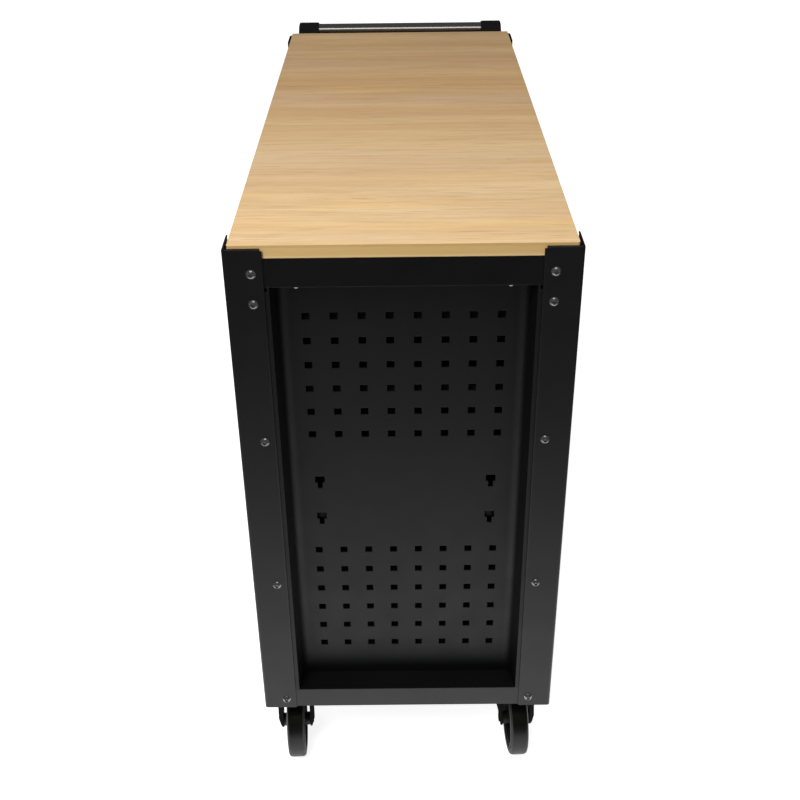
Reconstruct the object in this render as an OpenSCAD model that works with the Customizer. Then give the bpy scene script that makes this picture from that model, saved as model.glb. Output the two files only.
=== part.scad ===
// Mobile tool cabinet: bolted steel angle frame, wood worktop, perforated ends,
// two banks of drawers on telescopic slides, four swivel castors and a push handle.
// Lengths are millimetres. The front with the drawers faces -Y, the handle is at +X.

/* [Frame] */
// Length over the corner posts
frame_l = 1115; // [960:5:1400]
// Depth over the corner posts
frame_w = 464; // [440:2:560]
// Length of each corner post
post_h = 809; // [760:1:900]
// Width of the flat of each post flange
flange_w = 49; // [44:1:57]
// Sheet thickness of the posts
post_t = 2; // [1.5:0.1:2.5]
// Outer radius of the post's corner bend
post_bend_r = 5; // [4:0.5:8]
// Outer radius and depth of the returned lips round each post
lip_r = 3; // [2.8:0.1:3.4]
// Sheet thickness of rails, base and panels
sheet_t = 1.5; // [1:0.1:2]
// Height of the four top rails
rail_h = 41; // [32:1:45]
// Depth of the front and rear rails' flanges
rail_flange = 25; // [18:1:35]
// Height of the base tray's skirt
skirt_h = 37; // [36:1:50]
// Width of the centre partition
partition_w = 40; // [30:1:60]

/* [End panels] */
// Width of the recess at its mouth
recess_w = 349; // [338:1:362]
// Depth of the recess from the flange to the flat sheet
recess_d = 40; // [34:1:44]
// Width of the flat perforated sheet between its bends
flat_w = 308; // [300:1:316]
// Drop of the bolted flanges' top edge below the top rail
flange_drop = 6; // [0:1:8]
// Inner radius of the soft bend between wall and flat sheet
recess_bend_r = 15; // [10:1:18]
// Turn of the soft bend
recess_bend_a = 78; // [60:1:84]
// Distance between peg holes
peg_pitch = 38; // [34:1:40]
// Side of each square peg hole
peg_hole = 10.5; // [8:0.5:13]
// Peg holes in a row
peg_cols = 8; // [2:1:8]
// Rows in each block of peg holes
peg_rows = 6; // [2:1:6]
// Post top down to the first row of the upper block
upper_block_drop = 117; // [90:1:130]
// Post top down to the first row of the lower block
lower_block_drop = 517.5; // [480:0.5:525]
// Distance between the two columns of keyholes
keyhole_span = 252; // [200:2:270]
// Post top down to the head of the upper keyholes
keyhole_drop = 381; // [350:1:390]
// Distance between upper and lower keyholes
keyhole_pitch = 66; // [50:1:75]
// Width of a keyhole's head
keyhole_head_w = 14; // [11:0.5:18]
// Height of a keyhole's head
keyhole_head_h = 11; // [8:0.5:14]
// Width of a keyhole's stem
keyhole_stem_w = 7; // [5:0.5:9]
// Height of a keyhole's stem
keyhole_stem_h = 10; // [6:0.5:14]

/* [Worktop] */
// Thickness of the worktop
worktop_t = 18; // [16:1:25]
// Height of the worktop's face above the post tops
worktop_rise = 4; // [0:0.5:6]
// Gap between the worktop's ends and the posts
worktop_end_gap = 1.5; // [1.5:0.5:4]
// Gap between the worktop's long edges and the posts
worktop_side_gap = 5; // [1:0.5:7]
// Radius of the worktop's corners
worktop_r = 3; // [1:0.5:6]

/* [Bolts] */
// Radius of a frame bolt's head
bolt_head_r = 7; // [6:0.1:8]
// Height of a frame bolt's domed head
bolt_head_h = 4.2; // [3:0.1:5]
// Radius of a frame bolt's shank
bolt_r = 4; // [3:0.1:4.2]
// Clearance of a bolt in its hole
bolt_clear = 0.3; // [0.1:0.05:0.6]
// Distance of the bolts from the post's corner
bolt_inset = 36; // [30:1:37]
// Post top down to the bolts through the top rails
rail_bolt_drop = 35; // [32:1:40]
// Post top down to the upper bolts of the panels
panel_bolt_drop = 78; // [74:1:90]
// Post top down to the middle bolts of the panels
middle_bolt_drop = 292; // [250:1:350]
// Post top down to the lower bolts of the panels
lower_bolt_drop = 551; // [480:1:600]
// Post foot up to the bolts through the base tray
foot_bolt_rise = 18; // [12:1:24]
// Distance of the worktop screws from the cabinet's centre line, at the ends
end_screw_y = 140; // [100:1:160]
// Distance between the worktop screws along the sides
side_screw_pitch = 280; // [200:5:320]

/* [Drawers] */
// Front heights of the left bank from the top; the lowest takes the rest
left_fronts = [90, 130, 190];
// Front heights of the right bank from the top; the lowest takes the rest
right_fronts = [150, 240];
// Gap above and below each front
front_gap = 4; // [3:0.5:8]
// Gap beside each front
front_side_gap = 1.5; // [1:0.5:3]
// Setback of the fronts behind the posts' faces
front_inset = 16; // [14:0.5:22]
// Thickness of a drawer's double-skinned front
front_d = 14; // [10:1:20]
// Sheet thickness of the drawers
drawer_t = 1; // [0.8:0.1:1.5]
// Length of the drawer's tub behind its front
tub_l = 398; // [360:2:400]
// Front's lower edge up to the tub's floor
tub_rise = 10; // [6:1:14]
// Front's upper edge down to the tub's rim
tub_drop = 22; // [16:1:26]
// Depth of the pull's outer lip
pull_lip = 12; // [8:1:16]
// Sheet thickness of the pull
pull_t = 1.5; // [1.2:0.1:2.5]

/* [Slides] */
// Width of a closed telescopic slide
slide_w = 13; // [12:0.1:15]
// Height of a slide's outer member
slide_h = 45; // [42:1:46]
// Length of a slide
slide_l = 400; // [380:5:410]
// Sheet thickness of the slide members
slide_t = 1.2; // [1:0.1:1.4]
// Running gap between slide members
slide_gap = 0.3; // [0.2:0.05:0.6]
// Depth of the angle uprights that carry the slides
upright_d = 60; // [45:1:80]
// Width of the uprights' bolted flange
upright_w = 33; // [28:1:36]

/* [Handle] */
// Radius of the handle tube
handle_r = 14; // [11:0.5:15]
// Wall of the handle tube
handle_wall = 1.5; // [1:0.1:2.5]
// Distance of the tube's axis from the posts' faces
handle_reach = 45; // [40:1:60]
// Tube's axis below the post tops
handle_drop = 2; // [0:1:12]
// Width of each handle bracket
bracket_w = 42; // [36:1:44]
// Middle of each bracket in from the line of its bolts
bracket_shift = 3; // [0:0.5:6]
// Wall of the bracket round the tube
bracket_wall = 3; // [2:0.5:5]
// Length of the bracket below the post top
bracket_l = 94; // [91:1:110]
// Thickness of the bracket's foot
bracket_foot_t = 8; // [7:0.5:14]
// Depth of the plastic under the fixing bolts' heads
bracket_seat_t = 4.5; // [3:0.5:6]
// Depth of the tube's socket in each bracket
socket_d = 30; // [20:1:34]

/* [Castors] */
// Floor to the top of the castor plates
castor_h = 158; // [154:1:170]
// Height of the castor plates above the post feet
castor_recess = 6; // [4:1:8]
// Swivel axes in from the ends
castor_inset_x = 95; // [92:1:130]
// Swivel axes in from the sides
castor_inset_y = 45; // [43:1:60]
// Offset of all four castors towards the rear
castor_shift = 4; // [-4:1:4]
// Length of a castor plate
plate_l = 100; // [90:1:110]
// Width of a castor plate
plate_w = 68; // [64:1:68]
// Thickness of a castor plate
plate_t = 2.5; // [2:0.1:4]
// Distance between plate bolts along the plate
plate_bolt_x = 80; // [72:1:84]
// Distance between plate bolts across the plate
plate_bolt_y = 52; // [48:1:54]
// Radius of the plate bolts
plate_bolt_r = 4; // [3:0.1:4.2]
// Radius of the wheels
wheel_r = 62.5; // [60:0.5:64]
// Width of the tyres
tyre_w = 29; // [27:1:34]
// Radius of the tyres' shoulders
tyre_shoulder = 6; // [4:0.5:10]
// Radius where tyre and hub meet
hub_r = 50; // [44:0.5:54]
// Distance from swivel axis to axle
trail = 35; // [30:1:38]
// Radius of the axle
axle_r = 5; // [4:0.5:6]
// Running clearance of axles and pins
run_clear = 0.06; // [0.02:0.01:0.1]
// Inner distance between the fork legs
fork_gap = 45; // [42:1:46]
// Sheet thickness of the fork
fork_t = 2.5; // [2:0.1:3.2]
// Height of the outward rim round each fork leg
fork_rim = 5.5; // [4:0.5:8]
// Radius of the fork legs' lower end round the axle
fork_foot_r = 13; // [12:0.5:18]
// Radius of the fork legs' upper end
fork_head_r = 28; // [27:1:31]
// Turn of the two left castors as they stand
castor_turn = 3; // [0:1:30]

/* [Brake and lock] */
// Gap between brake shoe and tyre when released
shoe_gap = 7; // [6:0.5:8]
// Thickness of the brake pedal
pedal_t = 3; // [2:0.5:4]
// Length of the pedal's foot plate
pedal_l = 34; // [24:1:45]
// Radius of the pedal's pivot pin
pedal_pin_r = 3; // [2:0.5:3.5]
// Radius of the lock's face ring
lock_r = 11; // [9:0.5:14]
// Radius of the turning lock plug
plug_r = 7; // [5:0.5:8]

/* [Hidden] */
$fn = 48;
eps = 0.01;

ground_gap = castor_h - castor_recess;
post_top = ground_gap + post_h;
seat = lip_r;
skin = seat + sheet_t;
base_top = ground_gap + skirt_h;
worktop_under = post_top + worktop_rise - worktop_t;
rail_foot = worktop_under - rail_h;
opening_h = rail_foot - base_top;

handle_out = handle_reach + handle_r + bracket_wall;
wheel_reach = (trail + wheel_r - tyre_shoulder) * cos(castor_turn)
              + (tyre_w / 2 - tyre_shoulder) * sin(castor_turn) + tyre_shoulder - castor_inset_x;
mid_x = (frame_l + handle_out - max(wheel_reach, bolt_head_h)) / 2;

bolt_hole_r = bolt_r + bolt_clear;
bolt_zs = [post_top - rail_bolt_drop, post_top - panel_bolt_drop, post_top - middle_bolt_drop,
           post_top - lower_bolt_drop, ground_gap + foot_bolt_rise];
key_r = 2.9;
key_h = 2.6;
nut_r = 7.5;
nut_h = 6.5;
screw_r = 2.75;
screw_x = seat + 8;
screw_head_r = 5.2;
screw_head_h = 4.2;
washer_r = 5.8;
washer_h = 1.2;
screw_access_r = washer_r + 0.5;
screw_bite = 12;
screw_clear = 0.05;

bank_x = [[flange_w + lip_r, (frame_l - partition_w) / 2],
          [(frame_l + partition_w) / 2, frame_l - flange_w - lip_r]];
front_face = -frame_w / 2 + front_inset;
front_back = front_face + front_d;
slide_y = front_back + 1;
slide_z = tub_rise + 4 + slide_h / 2;
pull_out = front_inset - 0.5;
step = slide_t + slide_gap;
skin_front = 1.2;

bracket_y = frame_w / 2 - bolt_inset - bracket_shift;
handle_clear = 2 * bracket_y - bracket_w;
handle_z = post_top - handle_drop;
bracket_corner = 5;
bore_head_r = bolt_head_r + 1;

axle_z = wheel_r;
fork_half = fork_gap / 2;
race_h = 5;
race_r = 30;
crown_t = 7;
crown_r = 33;
swivel_gap = 0.3;
crown_top = castor_h - plate_t - race_h - swivel_gap;
crown_foot = crown_top - crown_t;
fork_head = [-4, crown_foot - 25];
axle_head_r = 7.5;
axle_head_h = 3.5;
kingpin_r = 6;
kingpin_head_r = 9;
kingpin_head_h = 4;
pivot = [-22, crown_foot - 10];
shoe_r = wheel_r + shoe_gap;

// Placing and plain shapes

module in_place() translate([-mid_x, 0, 0]) children();

module flip_x(on) {
    if (on) mirror([1, 0, 0]) children();
    else children();
}

module flip_y(on) {
    if (on) mirror([0, 1, 0]) children();
    else children();
}

// Corner frame: both flanges start at the origin and run along +X and +Y
module corner(right, rear)
    translate([right ? frame_l : 0, rear ? frame_w / 2 : -frame_w / 2, 0])
        flip_x(right) flip_y(rear) children();

// End frame: X runs inwards from the end's outer face
module end(right) translate([right ? frame_l : 0, 0, 0]) flip_x(right) children();

// Side frame: Y runs inwards from the front's or rear's outer face
module side(rear) translate([0, rear ? frame_w / 2 : -frame_w / 2, 0]) flip_y(rear) children();

module quarter_ring(r, t, turn)
    rotate(turn) difference() {
        intersection() {
            circle(r);
            square(r);
        }
        circle(r - t);
    }

module box(low, high) translate(low) cube(high - low);

module along_y(l) rotate([-90, 0, 0]) linear_extrude(l) children();

module rounded(size, r)
    union() {
        translate([r, 0]) square([size[0] - 2 * r, size[1]]);
        translate([0, r]) square([size[0], size[1] - 2 * r]);
        for (x = [r, size[0] - r], y = [r, size[1] - r]) translate([x, y]) circle(r);
    }

// Points where the two outer tangents touch circles a and b
function tangent_points(a, ra, b, rb) =
    let (d = norm(b - a), base = atan2(b[1] - a[1], b[0] - a[0]), lean = acos((ra - rb) / d))
    [a + ra * [cos(base + lean), sin(base + lean)], b + rb * [cos(base + lean), sin(base + lean)],
     b + rb * [cos(base - lean), sin(base - lean)], a + ra * [cos(base - lean), sin(base - lean)]];

module strap(a, ra, b, rb) {
    translate(a) circle(ra);
    translate(b) circle(rb);
    polygon(tangent_points(a, ra, b, rb));
}

function sum_to(list, n) = n <= 0 ? 0 : list[n - 1] + sum_to(list, n - 1);

// Bolts

module bolt_shafts(right, rear, zs)
    corner(right, rear) for (z = zs) {
        translate([-1, bolt_inset, z]) rotate([0, 90, 0]) cylinder(r = bolt_hole_r, h = 10);
        translate([bolt_inset, -1, z]) rotate([-90, 0, 0]) cylinder(r = bolt_hole_r, h = 10);
    }

module all_bolt_shafts(zs)
    for (right = [false, true], rear = [false, true]) bolt_shafts(right, rear, zs);

// Button-head bolt along +Z: its head sits at out below zero, its nut starts at grip
module frame_bolt(out, grip) {
    difference() {
        union() {
            translate([0, 0, -out]) mirror([0, 0, 1]) rotate_extrude() dome(bolt_head_r, bolt_head_h);
            translate([0, 0, -out - 0.5]) cylinder(r = bolt_r, h = out + grip + nut_h + 1.5);
        }
        translate([0, 0, -out - bolt_head_h - eps]) cylinder(r = key_r, h = key_h, $fn = 6);
    }
    translate([0, 0, grip]) difference() {
        cylinder(r = nut_r, h = nut_h, $fn = 6);
        translate([0, 0, -eps]) cylinder(r = bolt_r + screw_clear, h = nut_h + 2 * eps);
    }
}

module dome(r, h) {
    ball = (r * r + h * h) / (2 * h);
    intersection() {
        translate([0, h - ball]) circle(ball);
        square([r, h]);
    }
}

// Stack behind a side bolt: the rear panel and the uprights lie between base and rails
function side_grip(rear, i) = skin + ((rear && i > 0 && i < 4) ? sheet_t : 0);

module frame_bolts()
    color([0.12, 0.12, 0.13]) in_place()
        for (right = [false, true], rear = [false, true], i = [0:4]) {
            out = (right && i < 2) ? bracket_seat_t : 0;
            corner(right, rear) {
                translate([0, bolt_inset, bolt_zs[i]]) rotate([0, 90, 0]) frame_bolt(out, skin);
                translate([bolt_inset, 0, bolt_zs[i]]) rotate([-90, 0, 0])
                    frame_bolt(0, side_grip(rear, i));
            }
        }

// The end screws hang under the rails; the side screws sit inside the rails' channels
function end_screws() = [for (x = [screw_x, frame_l - screw_x], y = [-end_screw_y, end_screw_y]) [x, y]];
function side_screws() = [for (i = [-1.5:1:1.5], s = [-1, 1])
    [frame_l / 2 + i * side_screw_pitch, s * (frame_w / 2 - seat - rail_flange / 2)]];

module screw_shafts(r)
    for (p = concat(end_screws(), side_screws()))
        translate([p[0], p[1], rail_foot - 1]) cylinder(r = r, h = rail_h + screw_bite + 2);

module worktop_screw(foot)
    translate([0, 0, foot]) {
        cylinder(r = screw_r, h = worktop_under - foot + screw_bite);
        translate([0, 0, -washer_h]) cylinder(r = washer_r, h = washer_h);
        translate([0, 0, -washer_h]) mirror([0, 0, 1]) difference() {
            rotate_extrude() dome(screw_head_r, screw_head_h);
            translate([0, 0, screw_head_h - 2]) cylinder(r = 2, h = 3, $fn = 6);
        }
    }

module worktop_screws()
    color([0.85, 0.68, 0.35]) in_place() {
        for (p = end_screws()) translate([p[0], p[1], 0]) worktop_screw(rail_foot);
        for (p = side_screws()) translate([p[0], p[1], 0]) worktop_screw(worktop_under - sheet_t);
    }

// Frame

// Returned lip along the top of a flange, drawn in depth and Z
module top_lip() translate([lip_r, post_top - lip_r]) quarter_ring(lip_r, post_t, 90);

// Lips run up each flange and round the top; beside the worktop the flanges stay flat to their edge
module post() {
    flat_top = post_top - lip_r;
    lip_foot = post_bend_r;
    difference() {
        union() {
            translate([0, 0, ground_gap]) linear_extrude(flat_top - ground_gap) {
                translate([post_bend_r, 0]) square([flange_w - post_bend_r, post_t]);
                translate([0, post_bend_r]) square([post_t, flange_w - post_bend_r]);
                translate([post_bend_r, post_bend_r]) quarter_ring(post_bend_r, post_t, 180);
            }
            translate([0, 0, ground_gap]) linear_extrude(worktop_under - ground_gap) {
                translate([flange_w, lip_r]) quarter_ring(lip_r, post_t, 270);
                translate([lip_r, flange_w]) quarter_ring(lip_r, post_t, 90);
            }
            translate([0, 0, worktop_under]) linear_extrude(flat_top - worktop_under) {
                translate([flange_w - eps, 0]) square([lip_r + eps, post_t]);
                translate([0, flange_w - eps]) square([post_t, lip_r + eps]);
            }
            translate([0, flange_w, 0]) rotate([90, 0, 0]) linear_extrude(flange_w - lip_foot) top_lip();
            translate([lip_foot, 0, 0]) rotate([90, 0, 90]) linear_extrude(flange_w - lip_foot) top_lip();
            translate([lip_foot, lip_foot, 0]) rotate(180) rotate_extrude(angle = 90)
                translate([post_bend_r - lip_r, flat_top]) quarter_ring(lip_r, post_t, 0);
        }
        for (z = bolt_zs) {
            translate([-1, bolt_inset, z]) rotate([0, 90, 0]) cylinder(r = bolt_hole_r, h = 10);
            translate([bolt_inset, -1, z]) rotate([-90, 0, 0]) cylinder(r = bolt_hole_r, h = 10);
        }
    }
}

module corner_post(right, rear) color([0.11, 0.11, 0.115]) in_place() corner(right, rear) post();

// Channel rail: web at the seat, flanges of depth d running inwards along +X
module rail_section(d)
    difference() {
        translate([seat, 0]) square([d, rail_h]);
        translate([skin, sheet_t]) square([d, rail_h - 2 * sheet_t]);
    }

module end_top_rail(right)
    color([0.1, 0.1, 0.105]) in_place() difference() {
        end(right) {
            half = frame_w / 2;
            translate([0, half - skin, rail_foot]) rotate([90, 0, 0])
                linear_extrude(frame_w - 2 * skin) rail_section(recess_d + sheet_t);
            box([seat, seat - half, rail_foot], [skin, half - seat, worktop_under]);
        }
        all_bolt_shafts([bolt_zs[0]]);
        screw_shafts(screw_r + bolt_clear);
    }

module long_top_rail(rear)
    color([0.1, 0.1, 0.105]) in_place() difference() {
        side(rear) {
            inner = seat + recess_d + sheet_t + 1;
            translate([inner, 0, rail_foot]) rotate([90, 0, 90])
                linear_extrude(frame_l - 2 * inner) rail_section(rail_flange);
            box([skin, seat, rail_foot], [frame_l - skin, skin, worktop_under]);
        }
        all_bolt_shafts([bolt_zs[0]]);
        screw_shafts(screw_r + bolt_clear);
        for (p = side_screws()) translate([p[0], p[1], rail_foot - 1])
            cylinder(r = screw_access_r, h = rail_h - sheet_t);
        if (!rear) lock_hole();
    }

module base_tray()
    color([0.11, 0.11, 0.115]) in_place() difference() {
        half = frame_w / 2;
        box([seat, seat - half, ground_gap], [frame_l - seat, half - seat, base_top]);
        box([skin, skin - half, ground_gap - 1], [frame_l - skin, half - skin, base_top - sheet_t]);
        all_bolt_shafts([bolt_zs[4]]);
    }

// Channels under the tray that take the castor plates
module castor_beams()
    color([0.11, 0.11, 0.115]) in_place()
        for (right = [false, true]) end(right) difference() {
            x = castor_inset_x;
            half = frame_w / 2 - skin;
            box([x - plate_l / 2, -half, castor_h], [x + plate_l / 2, half, base_top - sheet_t]);
            box([x - plate_l / 2 + post_t, -half - 1, castor_h + post_t],
                [x + plate_l / 2 - post_t, half + 1, base_top]);
            for (rear = [false, true]) plate_spot(rear) plate_holes(castor_h - 1, post_t + 2);
        }

// End panels

function peg_ys() = [for (i = [0:peg_cols - 1]) (i - (peg_cols - 1) / 2) * peg_pitch];
function arc(r, y) =
    [for (i = [0:6]) [r * cos(i * recess_bend_a / 6), y + r * sin(i * recess_bend_a / 6)]];

// Half of the folded section from the flat sheet out to the bolted flange
module pan_half() {
    centre_x = seat + recess_d - recess_bend_r;
    face = [for (p = arc(recess_bend_r, flat_w / 2)) [centre_x + p[0], p[1]]];
    back = [for (p = arc(recess_bend_r + sheet_t, flat_w / 2)) [centre_x + p[0], p[1]]];
    flange_y = frame_w / 2 - seat;
    polygon(concat(face, [[seat, recess_w / 2], [seat, flange_y], [skin, flange_y],
                          [skin, recess_w / 2 + sheet_t]], [for (i = [6:-1:0]) back[i]]));
}

// Flat perforated sheet drawn in Y and Z
module peg_sheet()
    difference() {
        translate([-flat_w / 2, base_top]) square([flat_w, opening_h]);
        for (y = peg_ys(), j = [0:peg_rows - 1], drop = [upper_block_drop, lower_block_drop])
            translate([y, post_top - drop - j * peg_pitch]) square(peg_hole, center = true);
        for (s = [-1, 1], j = [0, 1])
            translate([s * keyhole_span / 2, post_top - keyhole_drop - j * keyhole_pitch]) keyhole();
    }

module keyhole() {
    translate([-keyhole_head_w / 2, -keyhole_head_h]) square([keyhole_head_w, keyhole_head_h]);
    translate([-keyhole_stem_w / 2, -keyhole_head_h - keyhole_stem_h])
        square([keyhole_stem_w, keyhole_stem_h + eps]);
}

module end_panel(right)
    color([0.08, 0.08, 0.085]) in_place() difference() {
        end(right) {
            translate([0, 0, base_top]) linear_extrude(opening_h) {
                pan_half();
                mirror([0, 1]) pan_half();
            }
            translate([seat + recess_d, 0, 0]) rotate([90, 0, 90]) linear_extrude(sheet_t) peg_sheet();
        }
        all_bolt_shafts([bolt_zs[1], bolt_zs[2], bolt_zs[3]]);
        for (rear = [false, true]) corner(right, rear)
            box([seat - 1, 0, rail_foot - flange_drop],
                [skin + 1, (frame_w - recess_w) / 2 - 2 * sheet_t, rail_foot + 1]);
    }

// Rear panel with four pressed upright ribs
rib_w = 60;
rib_top_w = 40;
rib_h = 2.5;
module rear_panel()
    color([0.1, 0.1, 0.105]) in_place() difference() {
        side(true) translate([0, 0, base_top]) linear_extrude(opening_h) {
            span = frame_l - 2 * skin;
            ribs = [for (i = [0:3]) skin + span * (i + 1) / 5];
            face = [for (x = ribs) each [[x - rib_w / 2, seat], [x - rib_top_w / 2, seat - rib_h],
                                         [x + rib_top_w / 2, seat - rib_h], [x + rib_w / 2, seat]]];
            back = [for (p = face) [p[0], p[1] + sheet_t]];
            n = len(face) - 1;
            polygon(concat([[skin, seat]], face, [[frame_l - skin, seat], [frame_l - skin, skin]],
                           [for (i = [n:-1:0]) back[i]], [[skin, skin]]));
        }
        all_bolt_shafts([bolt_zs[1], bolt_zs[2], bolt_zs[3]]);
    }

module centre_partition()
    color([0.1, 0.1, 0.105]) in_place() {
        x = [frame_l / 2 - partition_w / 2, frame_l / 2 + partition_w / 2];
        y = [-frame_w / 2 + 1, frame_w / 2 - skin];
        difference() {
            box([x[0], y[0], base_top], [x[1], y[1], rail_foot]);
            box([x[0] + sheet_t, y[0] + sheet_t, base_top - 1],
                [x[1] - sheet_t, y[1] - sheet_t, rail_foot + 1]);
        }
    }

module worktop()
    color([0.86, 0.72, 0.52]) in_place() {
        l = frame_l - 2 * (post_t + worktop_end_gap);
        w = frame_w - 2 * (post_t + worktop_side_gap);
        difference() {
            translate([(frame_l - l) / 2, -w / 2, worktop_under]) linear_extrude(worktop_t)
                rounded([l, w], worktop_r);
            screw_shafts(screw_r + screw_clear);
        }
    }

// Drawers and slides

function fronts(bank) =
    let (set = bank == 0 ? left_fronts : right_fronts)
    concat(set, [opening_h - sum_to(set, len(set)) - (len(set) + 2) * front_gap]);
function front_top(bank, i) = rail_foot - front_gap - sum_to(fronts(bank), i) - i * front_gap;
function front_foot(bank, i) = front_top(bank, i) - fronts(bank)[i];

// Angle uprights behind the posts, at both ends
module slide_uprights()
    color([0.45, 0.46, 0.48]) in_place() difference() {
        for (right = [false, true], rear = [false, true]) {
            y = seat + (rear ? sheet_t : 0);
            face = flange_w + lip_r;
            corner(right, rear) {
                box([face - upright_w, y, base_top], [face, y + sheet_t, rail_foot]);
                box([face - sheet_t, y, base_top], [face, y + upright_d, rail_foot]);
            }
        }
        all_bolt_shafts([bolt_zs[1], bolt_zs[2], bolt_zs[3]]);
    }

// Slide members drawn in X (away from the carcass) and Z, open towards the drawer
module member(x0, x1, h)
    difference() {
        translate([x0, -h / 2]) square([x1 - x0, h]);
        translate([x0 + slide_t, -h / 2 + slide_t]) square([x1 - x0, h - 2 * slide_t]);
    }

module track_section() member(0, slide_w - 2 * step, slide_h);
module carriage_section() member(step, slide_w - step, slide_h - 2 * step);
module runner_section()
    translate([slide_w, 0]) mirror([1, 0]) member(0, slide_w - 2 * step, slide_h - 4 * step);

module slide_pair(bank, i)
    for (far = [false, true])
        translate([bank_x[bank][far ? 1 : 0], slide_y, front_foot(bank, i) + slide_z])
            flip_x(far) along_y(slide_l) children();

module slide_tracks()
    color([0.7, 0.71, 0.73]) in_place()
        for (bank = [0, 1], i = [0:len(fronts(bank)) - 1]) slide_pair(bank, i) track_section();

module slide_carriages(bank, i)
    color([0.72, 0.73, 0.75]) in_place() slide_pair(bank, i) carriage_section();

module drawer_runners(bank, i)
    color([0.74, 0.75, 0.77]) in_place() slide_pair(bank, i) runner_section();

// Pull: sheet folded out over the hand and down to a lip, drawn in Y and Z from the front's top edge
module pull_section() {
    translate([-pull_out, -pull_t]) square([pull_out + eps, pull_t]);
    translate([-pull_out, -pull_lip]) square([pull_t, pull_lip]);
}

module drawer(bank, i)
    color([0.12, 0.12, 0.125]) in_place() {
        top = front_top(bank, i);
        foot = front_foot(bank, i);
        xs = [bank_x[bank][0] + front_side_gap, bank_x[bank][1] - front_side_gap];
        tub = [bank_x[bank][0] + slide_w, bank_x[bank][1] - slide_w];
        floor_z = foot + tub_rise;
        rim_z = top - tub_drop;
        difference() {
            union() {
                box([xs[0], front_face, foot], [xs[1], front_back, top]);
                box([tub[0], front_back - eps, floor_z], [tub[1], front_back + tub_l, rim_z]);
            }
            box([xs[0] + skin_front, front_face + skin_front, foot + skin_front],
                [xs[1] - skin_front, front_back - skin_front, top - skin_front]);
            box([tub[0] + drawer_t, front_back - skin_front - eps, floor_z + drawer_t],
                [tub[1] - drawer_t, front_back + tub_l - drawer_t, rim_z + 1]);
        }
        translate([xs[0], front_face, top]) rotate([90, 0, 90]) linear_extrude(xs[1] - xs[0])
            pull_section();
    }

// Handle

module bracket_outline() {
    head = [handle_reach, handle_z];
    foot = [bracket_foot_t - 2, post_top - bracket_l + 2];
    shoulder = [4, handle_z - 14];
    r = handle_r + bracket_wall;
    difference() {
        union() {
            strap(head, r, foot, 2);
            strap(head, r, shoulder, 4);
            polygon([head, foot, [0, foot[1]], [0, shoulder[1]], shoulder]);
            translate([0, foot[1] - 2]) square([foot[0], 4]);
            translate([0, shoulder[1]]) square([4, 4]);
        }
        translate([-handle_out, foot[1] - handle_out]) square([handle_out, bracket_l + 2 * handle_out]);
    }
}

module handle_brackets()
    color([0.07, 0.07, 0.075]) in_place()
        for (s = [-1, 1]) translate([frame_l, s * bracket_y, 0]) difference() {
            intersection() {
                rotate([90, 0, 0]) linear_extrude(bracket_w, center = true) bracket_outline();
                rotate([90, 0, 90]) linear_extrude(handle_out + 1)
                    translate([-bracket_w / 2, post_top - bracket_l])
                        rounded([bracket_w, bracket_l + handle_r + bracket_wall - handle_drop],
                                bracket_corner);
            }
            translate([handle_reach, -s * (bracket_w / 2 + 1), handle_z]) rotate([s * -90, 0, 0])
                cylinder(r = handle_r + screw_clear, h = socket_d + 1);
            for (z = [bolt_zs[0], bolt_zs[1]])
                translate([0, s * bracket_shift, z]) rotate([0, 90, 0]) {
                    translate([0, 0, -1]) cylinder(r = bolt_hole_r, h = 10);
                    translate([0, 0, bracket_seat_t]) cylinder(r = bore_head_r, h = handle_out);
                }
        }

module handle_tube()
    color([0.8, 0.8, 0.82]) in_place()
        translate([frame_l + handle_reach, 0, handle_z]) rotate([90, 0, 0]) difference() {
            l = handle_clear + 2 * socket_d - 1;
            cylinder(r = handle_r, h = l, center = true);
            cylinder(r = handle_r - handle_wall, h = l + 2, center = true);
        }

// Lock in the middle of the front rail

lock_z = rail_foot + rail_h / 2;
lock_body_r = 9;
lock_depth = 16;
lock_ring_h = 2.2;

module lock_at() translate([frame_l / 2, -frame_w / 2 + seat, lock_z]) rotate([-90, 0, 0]) children();

module lock_hole() lock_at() translate([0, 0, -1]) cylinder(r = lock_body_r + 0.1, h = sheet_t + 2);

module lock_housing()
    color([0.75, 0.75, 0.77]) in_place() lock_at() difference() {
        union() {
            translate([0, 0, -lock_ring_h]) cylinder(r = lock_r, h = lock_ring_h);
            cylinder(r = lock_body_r, h = lock_depth);
        }
        translate([0, 0, -lock_ring_h - 1]) cylinder(r = plug_r + run_clear, h = lock_depth + 10);
    }

// Plug with its key slot in front and its cam behind the housing
module lock_plug()
    color([0.7, 0.7, 0.72]) in_place() lock_at() {
        difference() {
            translate([0, 0, -lock_ring_h]) cylinder(r = plug_r, h = lock_ring_h + lock_depth + 0.5);
            translate([-0.7, -4, -lock_ring_h - 1]) cube([1.4, 8, 7]);
        }
        translate([0, 0, lock_depth + 0.4]) linear_extrude(2) strap([0, 0], plug_r, [0, 10], 4);
    }

// Castors: each is drawn with its swivel axis on Z and its wheel trailing towards -X

castors = [[false, false], [false, true], [true, false], [true, true]];

function castor_y(rear) = (rear ? 1 : -1) * (frame_w / 2 - castor_inset_y) + castor_shift;

module plate_spot(rear) translate([castor_inset_x, castor_y(rear), 0]) children();

module castor_spot(k)
    translate([castors[k][0] ? frame_l - castor_inset_x : castor_inset_x, castor_y(castors[k][1]), 0])
        rotate([0, 0, castors[k][0] ? 0 : castor_turn]) children();

module plate_holes(z, h)
    for (x = [-1, 1], y = [-1, 1])
        translate([x * plate_bolt_x / 2, y * plate_bolt_y / 2, z])
            cylinder(r = plate_bolt_r + bolt_clear, h = h);

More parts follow.
